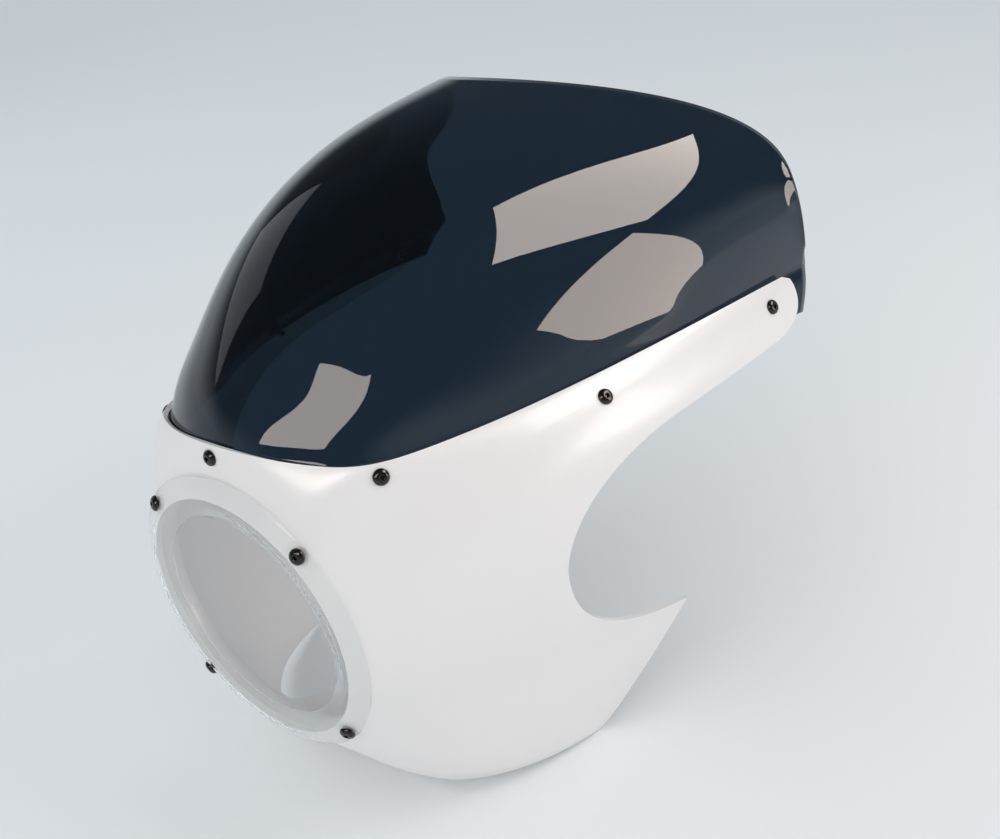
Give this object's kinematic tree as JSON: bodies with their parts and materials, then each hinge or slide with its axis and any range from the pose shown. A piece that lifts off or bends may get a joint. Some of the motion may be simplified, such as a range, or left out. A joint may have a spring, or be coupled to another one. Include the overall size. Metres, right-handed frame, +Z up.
{
  "type": "motorcycle headlight cowl",
  "caption": "Cafe-racer style headlight cowl: moulded nose shell with lamp opening, smoked bubble screen, clear lamp ring and button-head fixings, cut away for the handlebars",
  "frame": {"origin": "on the lamp axis, in the plane of the outer edge of the lamp seat, 5.8 mm behind the front of the shell", "axes": "+Y runs along the lamp axis to the rear, +Z up, +X to the rider's right; the nose points to -Y and the part is symmetric about X = 0"},
  "size_m": [0.3416, 0.3804, 0.379],
  "materials": {
    "shell": "glossy white moulded plastic",
    "screen": "polished smoked acrylic, slightly transparent",
    "clear_ring": "polished clear plastic",
    "black_screws": "glossy black oxide",
    "steel_nuts": "zinc plated steel"
  },
  "bodies": {
    "root": {"cowl_shell": "shell", "windscreen": "screen", "lamp_ring": "clear_ring", "screen_screws": "black_screws", "ring_screws": "black_screws", "screen_nuts": "steel_nuts", "ring_nuts": "steel_nuts"}
  },
  "joints": []
}
